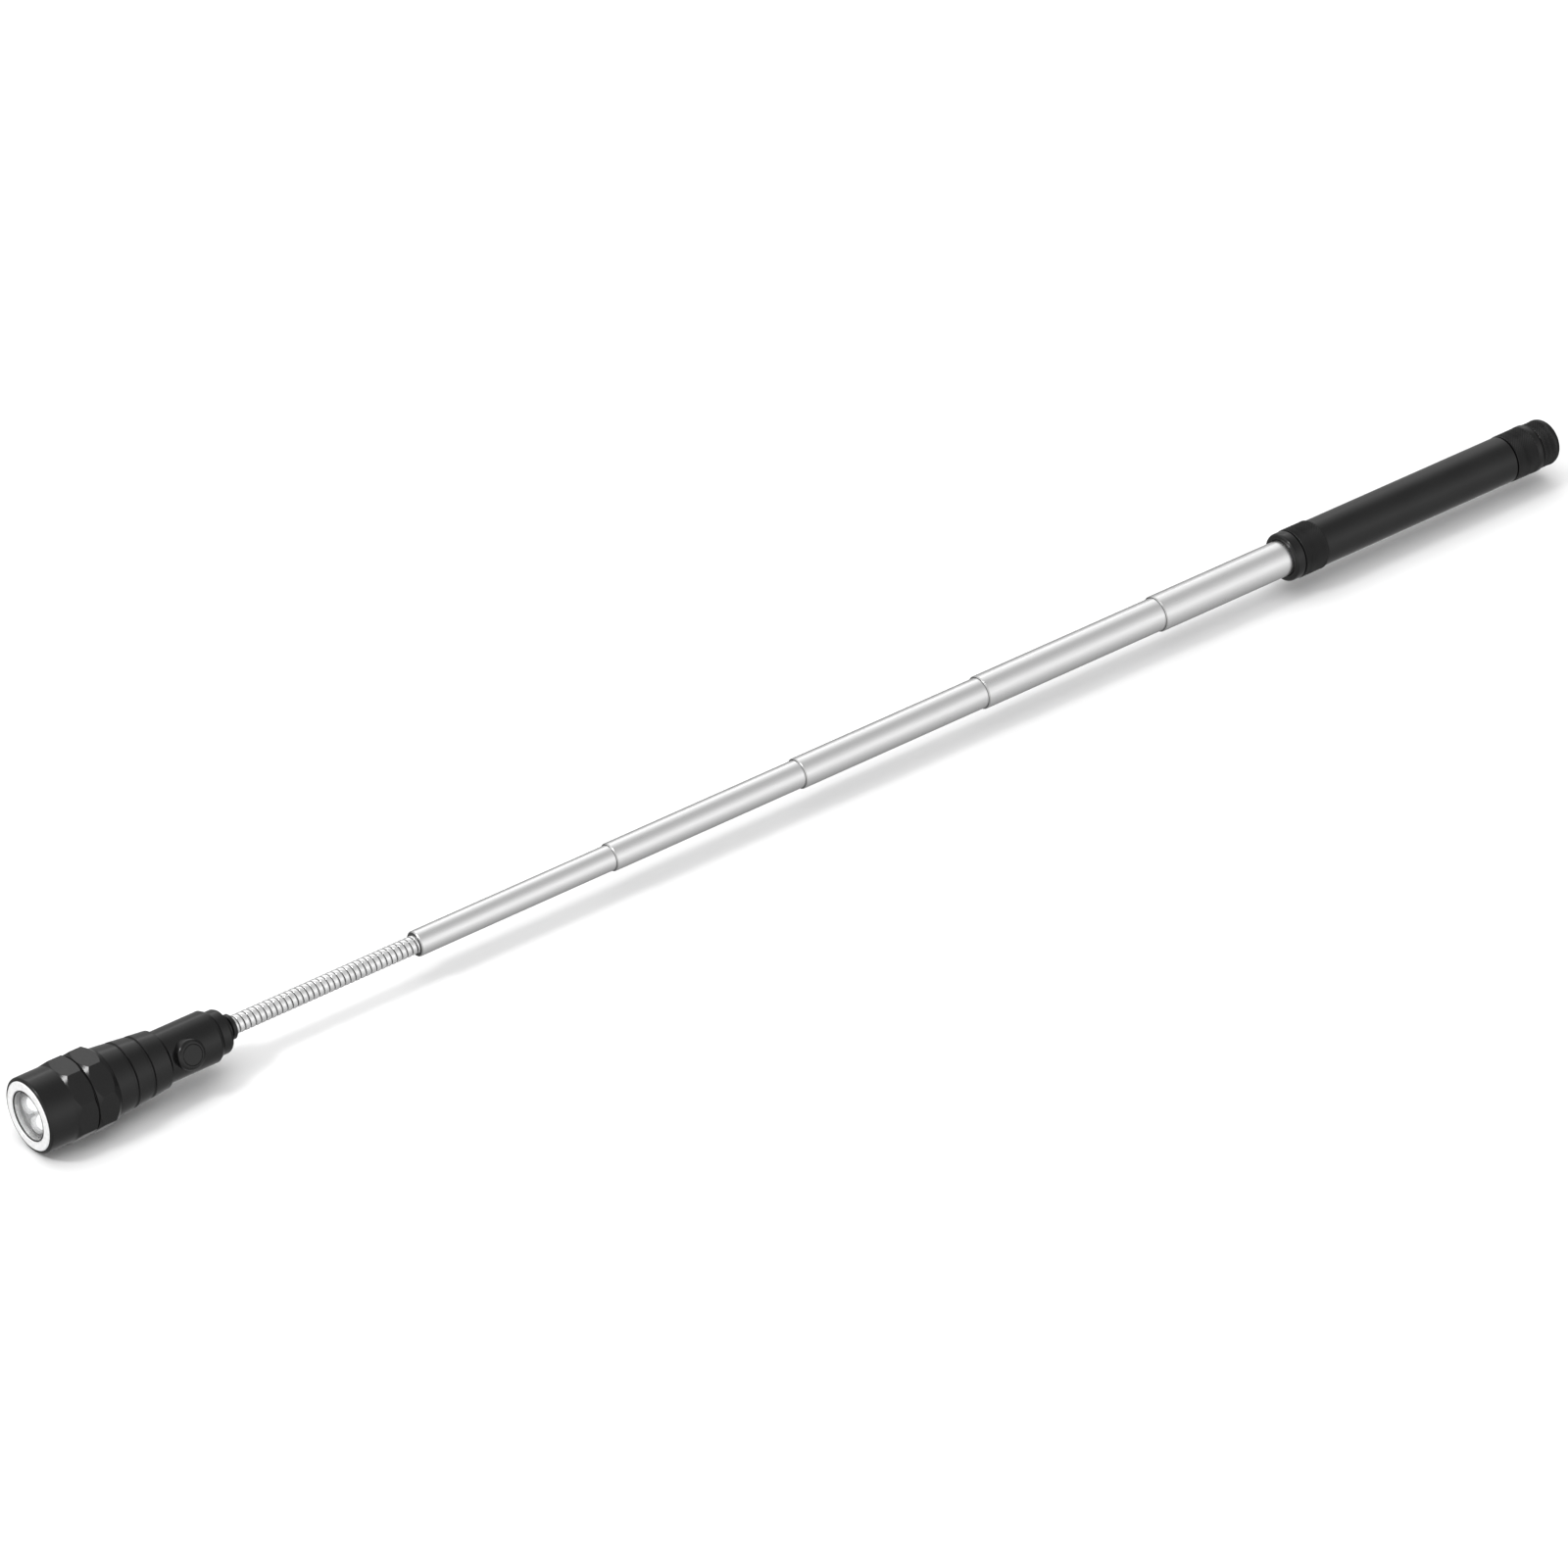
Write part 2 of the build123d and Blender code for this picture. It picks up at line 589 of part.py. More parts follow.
nodes["end_cap"] = turned(
    (TAIL_BAND_END - TAIL_WEB, 0),
    (TAIL_BAND_END - TAIL_WEB, END_SPIGOT_RADIUS),
    (TAIL_BAND_END, END_SPIGOT_RADIUS),
    (TAIL_BAND_END, END_GROOVE_RADIUS),
    (END_CAP_START, END_GROOVE_RADIUS),
    (END_CAP_START, END_CAP_RADIUS),
    (LENGTH, END_CAP_RADIUS),
    (LENGTH, TAIL_MAGNET_RADIUS + GLUE_GAP),
    (LENGTH - TAIL_MAGNET_LENGTH, TAIL_MAGNET_RADIUS + GLUE_GAP),
    (LENGTH - TAIL_MAGNET_LENGTH, 0),
    rounding=(0, 0, 0, 0, 0, 0, END_CAP_ROUND, 0, 0, 0),
)
nodes["tail_magnet"] = rod(LENGTH - TAIL_MAGNET_LENGTH, LENGTH, TAIL_MAGNET_RADIUS)

# ---------------------------------------------------------------- one STEP file for each piece
os.makedirs("parts", exist_ok=True)
for name, solid in nodes.items():
    export_step(solid, f"parts/{name}.step")
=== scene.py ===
import json
import math

import bpy
from mathutils import Matrix, Vector


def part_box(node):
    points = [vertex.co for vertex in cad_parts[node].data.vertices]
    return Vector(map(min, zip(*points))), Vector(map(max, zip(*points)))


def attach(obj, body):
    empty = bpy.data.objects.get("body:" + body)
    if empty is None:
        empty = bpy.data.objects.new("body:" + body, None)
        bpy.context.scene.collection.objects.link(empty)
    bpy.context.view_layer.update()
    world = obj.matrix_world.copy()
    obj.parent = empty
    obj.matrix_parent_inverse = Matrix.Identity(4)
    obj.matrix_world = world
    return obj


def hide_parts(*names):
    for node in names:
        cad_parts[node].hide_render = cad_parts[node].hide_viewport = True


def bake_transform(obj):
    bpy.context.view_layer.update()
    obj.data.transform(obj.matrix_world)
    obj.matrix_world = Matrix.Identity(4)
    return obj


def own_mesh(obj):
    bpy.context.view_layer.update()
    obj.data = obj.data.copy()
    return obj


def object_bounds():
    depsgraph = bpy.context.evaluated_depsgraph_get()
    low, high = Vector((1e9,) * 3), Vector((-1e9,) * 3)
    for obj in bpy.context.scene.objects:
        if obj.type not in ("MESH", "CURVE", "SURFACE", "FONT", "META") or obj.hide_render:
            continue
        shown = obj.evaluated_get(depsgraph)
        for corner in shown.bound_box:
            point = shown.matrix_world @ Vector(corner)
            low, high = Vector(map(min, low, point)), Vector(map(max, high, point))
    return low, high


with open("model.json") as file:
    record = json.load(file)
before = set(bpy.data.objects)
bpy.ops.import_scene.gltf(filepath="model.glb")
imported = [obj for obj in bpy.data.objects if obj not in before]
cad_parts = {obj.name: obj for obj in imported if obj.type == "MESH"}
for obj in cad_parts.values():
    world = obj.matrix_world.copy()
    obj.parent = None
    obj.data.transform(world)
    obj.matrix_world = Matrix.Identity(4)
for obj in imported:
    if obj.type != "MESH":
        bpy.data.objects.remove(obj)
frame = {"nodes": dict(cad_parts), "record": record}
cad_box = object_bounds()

# The looks of a telescopic magnetic pick-up torch. Lengths are in millimetres, along the tool from
# the magnet's front face (a station) or out from the tool's axis (a radius), and become metres at
# the last moment.

MM = 0.001
MAGNET_LOW, MAGNET_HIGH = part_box("ring_magnet")
FACE_X = MAGNET_LOW.x
AXIS_Z = (MAGNET_LOW.z + MAGNET_HIGH.z) / 2


def station_of(x):
    """The station of a frame X."""
    return (x - FACE_X) / MM


def span(node):
    """The first and last station of a CAD node."""
    low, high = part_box(node)
    return station_of(low.x), station_of(high.x)


def radius_of(node):
    """The outer radius of a turned CAD node."""
    low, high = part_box(node)
    return (high.y - low.y) / 2 / MM


def placed(station, radius, angle):
    """A frame point: angle 0 is straight up and a quarter turn is towards -Y."""
    return (
        FACE_X + station * MM,
        -radius * math.sin(angle) * MM,
        AXIS_Z + radius * math.cos(angle) * MM,
    )


# ---------------------------------------------------------------- camera
# angles in degrees, the lens and sensor in millimetres, distances in metres
CAMERA_AZIMUTH = -38.288
CAMERA_ELEVATION = 33.402
CAMERA_ROLL = -0.546
CAMERA_LENS = 174.33
CAMERA_SENSOR = 36
CAMERA_DISTANCE = 2.18779
CAMERA_NEAR = 0.05
CAMERA_FAR = 50
AIM_OFFSET = Vector((-0.01482, 0.00612, -0.00663))


def make_camera():
    """A camera that looks down on the tool from the head's end."""
    azimuth = math.radians(CAMERA_AZIMUTH)
    elevation = math.radians(CAMERA_ELEVATION)
    roll = math.radians(CAMERA_ROLL)
    back = Vector(
        (
            math.sin(azimuth) * math.cos(elevation),
            -math.cos(azimuth) * math.cos(elevation),
            math.sin(elevation),
        )
    )
    right = (-back).cross(Vector((0, 0, 1))).normalized()
    up = right.cross(-back)
    camera_x = right * math.cos(roll) + up * math.sin(roll)
    camera_y = up * math.cos(roll) - right * math.sin(roll)
    aim = (cad_box[0] + cad_box[1]) / 2 + AIM_OFFSET
    data = bpy.data.cameras.new("camera")
    data.lens = CAMERA_LENS
    data.sensor_width = CAMERA_SENSOR
    data.clip_start = CAMERA_NEAR
    data.clip_end = CAMERA_FAR
    data.dof.use_dof = False
    camera = bpy.data.objects.new("camera", data)
    turn = Matrix((camera_x, camera_y, back)).transposed().to_4x4()
    camera.matrix_world = Matrix.Translation(aim + back * CAMERA_DISTANCE) @ turn
    bpy.context.scene.collection.objects.link(camera)
    bpy.context.scene.camera = camera


make_camera()

# ---------------------------------------------------------------- light and floor
# lengths in metres and powers in watts
FLOOR_SIZE = 6.0
FLOOR_DROP = 0.0005

# the room's brightness against how high a direction points, from straight down (0) to up (1)
ROOM_STOPS = (
    (0.085, 0.42),
    (0.23, 0.56),
    (0.44, 0.86),
    (0.545, 1.06),
    (0.60, 1.10),
    (0.73, 0.90),
    (0.84, 0.62),
    (0.92, 0.48),
)
# how much lower a direction counts as it points behind the tool
BACK_WALL_LEAN = 0.8
# the room darkens to this share of its brightness in directions that point past the handle
FAR_END_START = 0.62
FAR_END_FULL = 0.85
FAR_END_SHADE = 0.25

# each soft light's name, place, width and height, power, and whether reflections show it
SOFT_LIGHTS = (
    ("overhead_light", (0, 0, 2.2), (3.0, 3.0), 38, False),
    ("front_light", (-1.30, 0.20, 1.30), (0.3, 0.3), 9, True),
    ("back_light", (0.5, 1.5, 1.0), (1.6, 0.35), 1.5, True),
)


def make_world():
    """A soft studio room: bright at eye level, brighter high up behind it, and dark past the handle."""
    world = bpy.data.worlds.new("studio")
    world.use_nodes = True
    nodes = world.node_tree.nodes
    links = world.node_tree.links
    coordinates = nodes.new("ShaderNodeTexCoord")
    split = nodes.new("ShaderNodeSeparateXYZ")
    links.new(coordinates.outputs["Generated"], split.inputs[0])

    behind = nodes.new("ShaderNodeMath")
    behind.operation = "MAXIMUM"
    behind.inputs[1].default_value = 0
    links.new(split.outputs["Y"], behind.inputs[0])
    leaned = nodes.new("ShaderNodeMath")
    leaned.operation = "MULTIPLY_ADD"
    leaned.inputs[1].default_value = -BACK_WALL_LEAN
    links.new(behind.outputs[0], leaned.inputs[0])
    links.new(split.outputs["Z"], leaned.inputs[2])
    height = nodes.new("ShaderNodeMapRange")
    height.inputs["From Min"].default_value = -1
    height.inputs["From Max"].default_value = 1
    links.new(leaned.outputs[0], height.inputs["Value"])

    ramp = nodes.new("ShaderNodeValToRGB")
    elements = ramp.color_ramp.elements
    for position, _ in ROOM_STOPS[len(elements):]:
        elements.new(position)
    for element, (position, shade) in zip(elements, ROOM_STOPS):
        element.position = position
        element.color = (shade, shade, shade, 1)
    links.new(height.outputs["Result"], ramp.inputs[0])
    links.new(ramp.outputs["Color"], nodes["Background"].inputs["Color"])

    far_end = nodes.new("ShaderNodeMapRange")
    far_end.inputs["From Min"].default_value = FAR_END_START
    far_end.inputs["From Max"].default_value = FAR_END_FULL
    far_end.inputs["To Min"].default_value = 1.0
    far_end.inputs["To Max"].default_value = FAR_END_SHADE
    links.new(split.outputs["X"], far_end.inputs["Value"])
    links.new(far_end.outputs["Result"], nodes["Background"].inputs["Strength"])
    bpy.context.scene.world = world


def add_area_light(name, place, size, power, in_reflections):
    """A soft box aimed at the middle of the scene."""
    data = bpy.data.lights.new(name, "AREA")
    data.shape = "RECTANGLE"
    data.size, data.size_y = size
    data.energy = power
    light = bpy.data.objects.new(name, data)
    light.location = place
    light.rotation_mode = "QUATERNION"
    light.rotation_quaternion = (-Vector(place)).to_track_quat("-Z", "Y")
    light.visible_glossy = in_reflections
    bpy.context.scene.collection.objects.link(light)


def make_floor(material):
    """A plain square floor just under the tool, left out of reflections."""
    half = FLOOR_SIZE / 2
    corners = [(-half, -half, 0), (half, -half, 0), (half, half, 0), (-half, half, 0)]
    mesh = bpy.data.meshes.new("floor")
    mesh.from_pydata(corners, [], [(0, 1, 2, 3)])
    mesh.materials.append(material)
    floor = bpy.data.objects.new("floor", mesh)
    floor.location.z = cad_box[0].z - FLOOR_DROP
    floor.visible_glossy = False
    bpy.context.scene.collection.objects.link(floor)


make_world()
for light_settings in SOFT_LIGHTS:
    add_area_light(*light_settings)
bpy.context.scene.view_settings.view_transform = "Standard"

# ---------------------------------------------------------------- materials
# the noise values between which a finish's colour drifts, and those between which its gloss does
DRIFT_FROM, DRIFT_TO = 0.35, 0.65
GRAIN_FROM, GRAIN_TO = 0.3, 0.7
DRIFT_DETAIL = 3
GRAIN_DETAIL = 4
# how far a face must look towards the head to be partly, and wholly, darkened with painted shade
END_FACING_FROM, END_FACING_TO = -0.45, -0.75
# painted shade: the grey that stands in for the shadow in the gap at a tube's mouth, then those faces'
# roughness
PAINTED_END_SHADE = 0.16
SHADED_END_ROUGHNESS = 0.5


def grey(shade):
    """An even grey of one shade."""
    return (shade, shade, shade)


def surface(
    name,
    dark,
    light,
    grain,
    metallic=0.0,
    roughness=(0.3, 0.4),
    bump=0.1,
    bump_depth=0.00002,
    stretch=(1, 1, 1),
    mottle=80.0,
    **settings,
):
    """A finish whose colour drifts between two shades, with a fine grain in its gloss and relief.

    mottle and grain are the scales of the colour's noise and the fine noise. stretch scales both
    along each axis, and a value below 1 draws them out. settings go straight on the shader."""
    material = bpy.data.materials.new(name)
    material.use_nodes = True
    nodes = material.node_tree.nodes
    links = material.node_tree.links
    shader = nodes["Principled BSDF"]
    coordinates = nodes.new("ShaderNodeTexCoord")
    mapping = nodes.new("ShaderNodeMapping")
    mapping.inputs["Scale"].default_value = stretch
    links.new(coordinates.outputs["Object"], mapping.inputs["Vector"])

    broad = nodes.new("ShaderNodeTexNoise")
    broad.inputs["Scale"].default_value = mottle
    broad.inputs["Detail"].default_value = DRIFT_DETAIL
    links.new(mapping.outputs[0], broad.inputs["Vector"])
    colours = nodes.new("ShaderNodeValToRGB")
    colours.color_ramp.elements[0].position = DRIFT_FROM
    colours.color_ramp.elements[0].color = (*dark, 1)
    colours.color_ramp.elements[1].position = DRIFT_TO
    colours.color_ramp.elements[1].color = (*light, 1)
    links.new(broad.outputs["Fac"], colours.inputs["Fac"])
    links.new(colours.outputs["Color"], shader.inputs["Base Color"])

    fine = nodes.new("ShaderNodeTexNoise")
    fine.inputs["Scale"].default_value = grain
    fine.inputs["Detail"].default_value = GRAIN_DETAIL
    links.new(mapping.outputs[0], fine.inputs["Vector"])
    gloss = nodes.new("ShaderNodeMapRange")
    gloss.inputs["From Min"].default_value = GRAIN_FROM
    gloss.inputs["From Max"].default_value = GRAIN_TO
    gloss.inputs["To Min"].default_value = roughness[0]
    gloss.inputs["To Max"].default_value = roughness[1]
    links.new(fine.outputs["Fac"], gloss.inputs["Value"])
    links.new(gloss.outputs["Result"], shader.inputs["Roughness"])

    relief = nodes.new("ShaderNodeBump")
    relief.inputs["Strength"].default_value = bump
    relief.inputs["Distance"].default_value = bump_depth
    links.new(fine.outputs["Fac"], relief.inputs["Height"])
    links.new(relief.outputs["Normal"], shader.inputs["Normal"])

    shader.inputs["Metallic"].default_value = metallic
    for socket, value in settings.items():
        shader.inputs[socket.replace("_", " ")].default_value = value
    return material


def paint_shade_on_front_ends(material, shade, roughness):
    """Paints shade onto the faces that look towards the tool's head, dark and dull, to stand in for the
    shadow in the gap at each tube's mouth.
    """
    nodes = material.node_tree.nodes
    links = material.node_tree.links
    shader = nodes["Principled BSDF"]
    coordinates = nodes.new("ShaderNodeTexCoord")
    split = nodes.new("ShaderNodeSeparateXYZ")
    links.new(coordinates.outputs["Normal"], split.inputs[0])
    share = nodes.new("ShaderNodeMapRange")
    share.inputs["From Min"].default_value = END_FACING_FROM
    share.inputs["From Max"].default_value = END_FACING_TO
    links.new(split.outputs["X"], share.inputs["Value"])

    def mixed(kind, target, end_value):
        """Blends what feeds a socket towards an even value on those faces."""
        mix = nodes.new("ShaderNodeMix")
        mix.data_type = "RGBA" if kind == "Color" else "FLOAT"
        inputs = {socket.identifier: socket for socket in mix.inputs}
        outputs = {socket.identifier: socket for socket in mix.outputs}
        links.new(share.outputs["Result"], inputs["Factor_Float"])
        links.new(target.links[0].from_socket, inputs[f"A_{kind}"])
        inputs[f"B_{kind}"].default_value = end_value
        links.new(outputs[f"Result_{kind}"], target)

    mixed("Color", shader.inputs["Base Color"], (*shade, 1))
    mixed("Float", shader.inputs["Roughness"], roughness)


# each slot's two shades and grain, then its other settings
FINISHES = {
    "black_anodised": dict(
        dark=grey(0.003),
        light=grey(0.005),
        grain=9000,
        roughness=(0.18, 0.28),
        bump=0.08,
        IOR=1.46,
    ),
    "nickel_magnet": dict(
        dark=grey(0.84),
        light=grey(0.96),
        grain=4200,
        metallic=0.3,
        roughness=(0.32, 0.50),
        bump=0.35,
        mottle=900,
    ),
    "clear_lens": dict(
        dark=grey(0.96),
        light=grey(1.0),
        grain=600,
        roughness=(0.0, 0.03),
        bump=0.0,
        IOR=1.49,
        Transmission_Weight=1.0,
        Alpha=0.32,
    ),
    "mirror_cup": dict(
        dark=grey(0.30),
        light=grey(0.38),
        grain=2200,
        metallic=0.5,
        roughness=(0.24, 0.36),
        bump=0.15,
    ),
    "led_epoxy": dict(
        dark=(0.90, 0.92, 0.93),
        light=(0.96, 0.97, 0.98),
        grain=900,
        roughness=(0.03, 0.08),
        bump=0.03,
        IOR=1.52,
        Transmission_Weight=0.15,
        Emission_Color=(1.0, 1.0, 1.0, 1),
        Emission_Strength=0.5,
    ),
    "circuit_board": dict(
        dark=(0.72, 0.72, 0.70),
        light=(0.80, 0.80, 0.78),
        grain=5000,
        roughness=(0.4, 0.55),
        bump=0.2,
    ),
    "seal_rubber": dict(
        dark=grey(0.012),
        light=grey(0.022),
        grain=5000,
        roughness=(0.5, 0.68),
        bump=0.3,
    ),
    "spring_steel": dict(
        dark=grey(0.52),
        light=grey(0.62),
        grain=6000,
        metallic=1.0,
        roughness=(0.22, 0.36),
        bump=0.15,
    ),
    "cell_steel": dict(
        dark=(0.70, 0.69, 0.67),
        light=(0.80, 0.79, 0.77),
        grain=4000,
        metallic=1.0,
        roughness=(0.20, 0.34),
        bump=0.12,
    ),
    "inner_plastic": dict(
        dark=grey(0.030),
        light=grey(0.045),
        grain=3500,
        roughness=(0.38, 0.52),
        bump=0.2,
    ),
    "brass_parts": dict(
        dark=(0.68, 0.47, 0.20),
        light=(0.80, 0.60, 0.28),
        grain=5000,
        metallic=1.0,
        roughness=(0.22, 0.38),
        bump=0.12,
    ),
    "polished_chrome": dict(
        dark=grey(0.90),
        light=grey(0.94),
        grain=3000,
        metallic=1.0,
        roughness=(0.27, 0.35),
        bump=0.05,
        stretch=(0.04, 1, 1),
        Specular_Tint=(0.55, 0.55, 0.55, 1),
    ),
    "neck_steel": dict(
        dark=grey(0.84),
        light=grey(0.94),
        grain=3000,
        metallic=0.82,
        roughness=(0.10, 0.20),
        bump=0.08,
        Specular_Tint=(0.5, 0.5, 0.5, 1),
    ),
}
MATERIALS = {name: surface(name, **finish) for name, finish in FINISHES.items()}
# painted shade on the tubes' mouth faces, for the shadow in the gap at each mouth
paint_shade_on_front_ends(MATERIALS["polished_chrome"], grey(PAINTED_END_SHADE), SHADED_END_ROUGHNESS)
# painted shade: darker steel on the floors and walls of the gooseneck's gaps, where shade falls between the
# coils
GAP_PAINTED_SHADE = surface(
    "gap_painted_shade",
    dark=grey(0.14),
    light=grey(0.22),
    grain=3000,
    metallic=0.6,
    roughness=(0.45, 0.6),
    bump=0.1,
)
PALE_FLOOR = surface(
    "pale_floor",
    dark=grey(0.90),
    light=grey(0.92),
    grain=40,
    roughness=(0.7, 0.8),
    bump=0.0,
    mottle=3,
)
make_floor(PALE_FLOOR)

for entry in frame["record"]["subparts"]:
    mesh = frame["nodes"][entry["node"]].data
    mesh.materials.clear()
    mesh.materials.append(MATERIALS[entry["material_slot"]])

# ---------------------------------------------------------------- mesh helpers
# an edge stays crisp where its faces turn by more than this, in degrees
SHARP_ANGLE = 38


def add_piece(name, points, faces, slot):
    """A smooth-shaded mesh in one slot's finish, with its sharp edges kept crisp."""
    mesh = bpy.data.meshes.new(name)
    mesh.from_pydata(points, [], faces)
    mesh.materials.append(MATERIALS[slot])
    mesh.update()
    piece = bpy.data.objects.new(name, mesh)
    bpy.context.scene.collection.objects.link(piece)
    mesh.shade_smooth()
    mesh.set_sharp_from_angle(angle=math.radians(SHARP_ANGLE))
    return piece


def skin(rings, corners, closed):
    """Faces between neighbouring rings of points, with the last ring joined to the first or both capped."""
    faces = []
    for ring in range(rings if closed else rings - 1):
        after = (ring + 1) % rings
        for corner in range(corners):
            beside = (corner + 1) % corners
            faces.append(
                (
                    ring * corners + corner,
                    ring * corners + beside,
                    after * corners + beside,
                    after * corners + corner,
                )
            )
    if not closed:
        last = (rings - 1) * corners
        faces.append(tuple(range(corners)))
        faces.append(tuple(last + corner for corner in reversed(range(corners))))
    return faces


def turned_rings(outline, columns, relief=None):
    """Points and faces of a closed outline of (station, radius) turned about the tool's axis.

    relief(station, radius, angle) is how far the surface is cut in at a point."""
    points = []
    for station, radius in outline:
        for column in range(columns):
            angle = 2 * math.pi * column / columns
            cut = relief(station, radius, angle) if relief else 0
            points.append(placed(station, radius - cut, angle))
    return points, skin(len(outline), columns, closed=True)


def rows_between(start, end, radius, step):
    """Evenly spaced outline corners along a straight band."""
    count = max(2, round((end - start) / step))
    return [(start + (end - start) * row / count, radius) for row in range(count + 1)]


# ---------------------------------------------------------------- knurled bands
KNURL_STARTS = 48
KNURL_DEPTH = 0.36
COLUMNS_PER_START = 8
KNURL_COLUMNS = KNURL_STARTS * COLUMNS_PER_START
KNURL_ROW = 0.128
KNURL_FADE = 0.35
# a point counts as on the band when it is no further below the band's radius than this
KNURL_SKIN = 0.05


def diamond_knurl(first, last, band_radius):
    """Two crossing sets of V grooves at 45 degrees, which run out at both ends of the band."""

    def relief(station, radius, angle):
        """How deep the grooves are at a point, and nothing off the band."""
        if not first < station < last or radius < band_radius - KNURL_SKIN:
            return 0
        turn = KNURL_STARTS * angle / (2 * math.pi)
        along = KNURL_STARTS * station / (2 * math.pi * band_radius)
        groove_a = abs(((turn + along) % 1) * 2 - 1)
        groove_b = abs(((turn - along) % 1) * 2 - 1)
        fade = min(1, (station - first) / KNURL_FADE, (last - station) / KNURL_FADE)
        return KNURL_DEPTH * fade * max(groove_a, groove_b)

    return relief


def knurled_piece(name, outline, band, band_radius, node):
    """A turned part of the handle, knurled between two stations, in place of its CAD node."""
    points, faces = turned_rings(outline, KNURL_COLUMNS, diamond_knurl(*band, band_radius))
    piece = add_piece(name, points, faces, "black_anodised")
    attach(piece, "handle")
    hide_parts(node)


EDGE_DROP = 0.25      # how far a band's edge is cut back from its crown, and from its end
HANDLE_RADIUS = 7.35
HANDLE_SEAT = 6.92    # the radius of the handle tube's seats in its end pieces

NOSE_START, NOSE_END = span("handle_nose")
NOSE_KNURL_RADIUS = radius_of("handle_nose")
NOSE_RADIUS = 7.55
NOSE_BORE = 5.7
NOSE_BORE_EDGE = (0.25, 0.2)       # the bore's chamfer, along the tool and outwards
NOSE_ROUND = (0.95, 0.9)           # the front edge's rounding, along the tool and inwards
NOSE_ROUND_STEPS = 7
NOSE_SEAT_LENGTH = 7.0
NOSE_GROOVE_START = NOSE_START + 3.3
NOSE_GROOVE_END = NOSE_START + 3.7
NOSE_GROOVE_EDGE = 0.08
NOSE_GROOVE_DEPTH = 0.5
NOSE_KNURL_LEAD = 0.15
NOSE_KNURL_END = NOSE_END - 0.6
NOSE_KNURL_RUN_OUT = 0.1

nose_front_edge = [
    (
        NOSE_START + NOSE_ROUND[0] * (1 - math.cos(math.pi / 2 * step / NOSE_ROUND_STEPS)),
        NOSE_RADIUS - NOSE_ROUND[1] * (1 - math.sin(math.pi / 2 * step / NOSE_ROUND_STEPS)),
    )
    for step in range(1, NOSE_ROUND_STEPS + 1)
]
knurled_piece(
    "nose_ring",
    [
        (NOSE_START + NOSE_BORE_EDGE[0], NOSE_BORE),
        (NOSE_START, NOSE_BORE + NOSE_BORE_EDGE[1]),
        (NOSE_START, NOSE_RADIUS - NOSE_ROUND[1]),
        *nose_front_edge,
        (NOSE_GROOVE_START - NOSE_GROOVE_EDGE, NOSE_RADIUS),
        (NOSE_GROOVE_START, NOSE_RADIUS - NOSE_GROOVE_EDGE),
        (NOSE_GROOVE_START, NOSE_RADIUS - NOSE_GROOVE_DEPTH),
        (NOSE_GROOVE_END, NOSE_RADIUS - NOSE_GROOVE_DEPTH),
        (NOSE_GROOVE_END, NOSE_KNURL_RADIUS - EDGE_DROP),
        *rows_between(
            NOSE_GROOVE_END + NOSE_KNURL_LEAD, NOSE_KNURL_END, NOSE_KNURL_RADIUS, KNURL_ROW
        ),
        (NOSE_END, HANDLE_RADIUS),
        (NOSE_END, HANDLE_SEAT),
        (NOSE_END - NOSE_SEAT_LENGTH, HANDLE_SEAT),
        (NOSE_END - NOSE_SEAT_LENGTH, NOSE_BORE),
    ],
    (NOSE_GROOVE_END, NOSE_KNURL_END + NOSE_KNURL_RUN_OUT),
    NOSE_KNURL_RADIUS,
    "handle_nose",
)

BAND_START, BAND_END = span("tail_band")
BAND_RADIUS = radius_of("tail_band")
BAND_KNURL_LEAD = 0.2
BAND_SMOOTH = 1.9                  # the plain ring behind the knurl
BAND_ROUND = (0.07, 0.08)          # a corner half-way round the rear edge, from the end and the crown
BAND_SPIGOT = 4.51
BAND_WEB = 3.2

knurled_piece(
    "knurled_tail",
    [
        (BAND_START, HANDLE_SEAT),
        (BAND_START, BAND_RADIUS - EDGE_DROP),
        *rows_between(BAND_START + BAND_KNURL_LEAD, BAND_END - BAND_SMOOTH, BAND_RADIUS, KNURL_ROW),
        (BAND_END - EDGE_DROP, BAND_RADIUS),
        (BAND_END - BAND_ROUND[0], BAND_RADIUS - BAND_ROUND[1]),
        (BAND_END, BAND_RADIUS - EDGE_DROP),
        (BAND_END, BAND_SPIGOT),
        (BAND_END - BAND_WEB, BAND_SPIGOT),
        (BAND_END - BAND_WEB, HANDLE_SEAT),
    ],
    (BAND_START, BAND_END - BAND_SMOOTH),
    BAND_RADIUS,
    "tail_band",
)

CAP_START, CAP_END = span("end_cap")
CAP_RADIUS = radius_of("end_cap")
CAP_FACE = CAP_END - 7.3
CAP_KNURL_LEAD = 0.15
CAP_KNURL_END = CAP_FACE + 4.8
CAP_ROUND = 2.4
CAP_SPIGOT = 4.5
CAP_GROOVE = 6.7
CAP_GROOVE_START = CAP_FACE - 0.5
CAP_CENTRE = 0.05                  # a pinhole on the axis, so that no turned face shrinks to nothing
CAP_MAGNET_SEAT = 4.21
CAP_MAGNET_DEPTH = 3.5
CAP_ROUND_STEPS = 8


def rounded_corner(end, radius, rounding, steps):
    """Outline corners round a turned piece's rear edge."""
    return [
        (
            end - rounding + rounding * math.sin(math.pi / 2 * step / steps),
            radius - rounding + rounding * math.cos(math.pi / 2 * step / steps),
        )
        for step in range(steps + 1)
    ]


